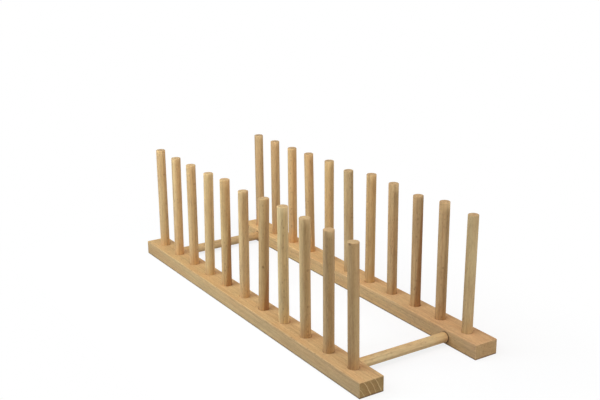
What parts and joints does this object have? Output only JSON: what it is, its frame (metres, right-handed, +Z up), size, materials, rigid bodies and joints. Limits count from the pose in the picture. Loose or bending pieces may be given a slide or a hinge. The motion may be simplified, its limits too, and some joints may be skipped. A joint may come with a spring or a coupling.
{
  "type": "plate rack",
  "caption": "Table-top wooden plate rack: two parallel rails joined by round cross dowels, each with a row of upright round pegs that hold plates on edge.",
  "frame": {"origin": "on the table, in the middle of the rack's footprint", "axes": "+X across the rack towards the right rail, +Y along the rails towards the rear end, +Z up"},
  "size_m": [0.144, 0.395, 0.1225],
  "materials": {
    "rails": "bare beech, planed and lightly sanded, matt",
    "pegs": "bare beech dowel, turned and lightly sanded, matt",
    "cross_dowels": "bare beech dowel, turned and lightly sanded, matt"
  },
  "bodies": {
    "root": {"left_rail": "rails", "right_rail": "rails", "front_cross_dowel": "cross_dowels", "rear_cross_dowel": "cross_dowels", "left_peg_1": "pegs", "left_peg_2": "pegs", "left_peg_3": "pegs", "left_peg_4": "pegs", "left_peg_5": "pegs", "left_peg_6": "pegs", "left_peg_7": "pegs", "left_peg_8": "pegs", "left_peg_9": "pegs", "left_peg_10": "pegs", "left_peg_11": "pegs", "right_peg_1": "pegs", "right_peg_2": "pegs", "right_peg_3": "pegs", "right_peg_4": "pegs", "right_peg_5": "pegs", "right_peg_6": "pegs", "right_peg_7": "pegs", "right_peg_8": "pegs", "right_peg_9": "pegs", "right_peg_10": "pegs", "right_peg_11": "pegs"}
  },
  "joints": []
}
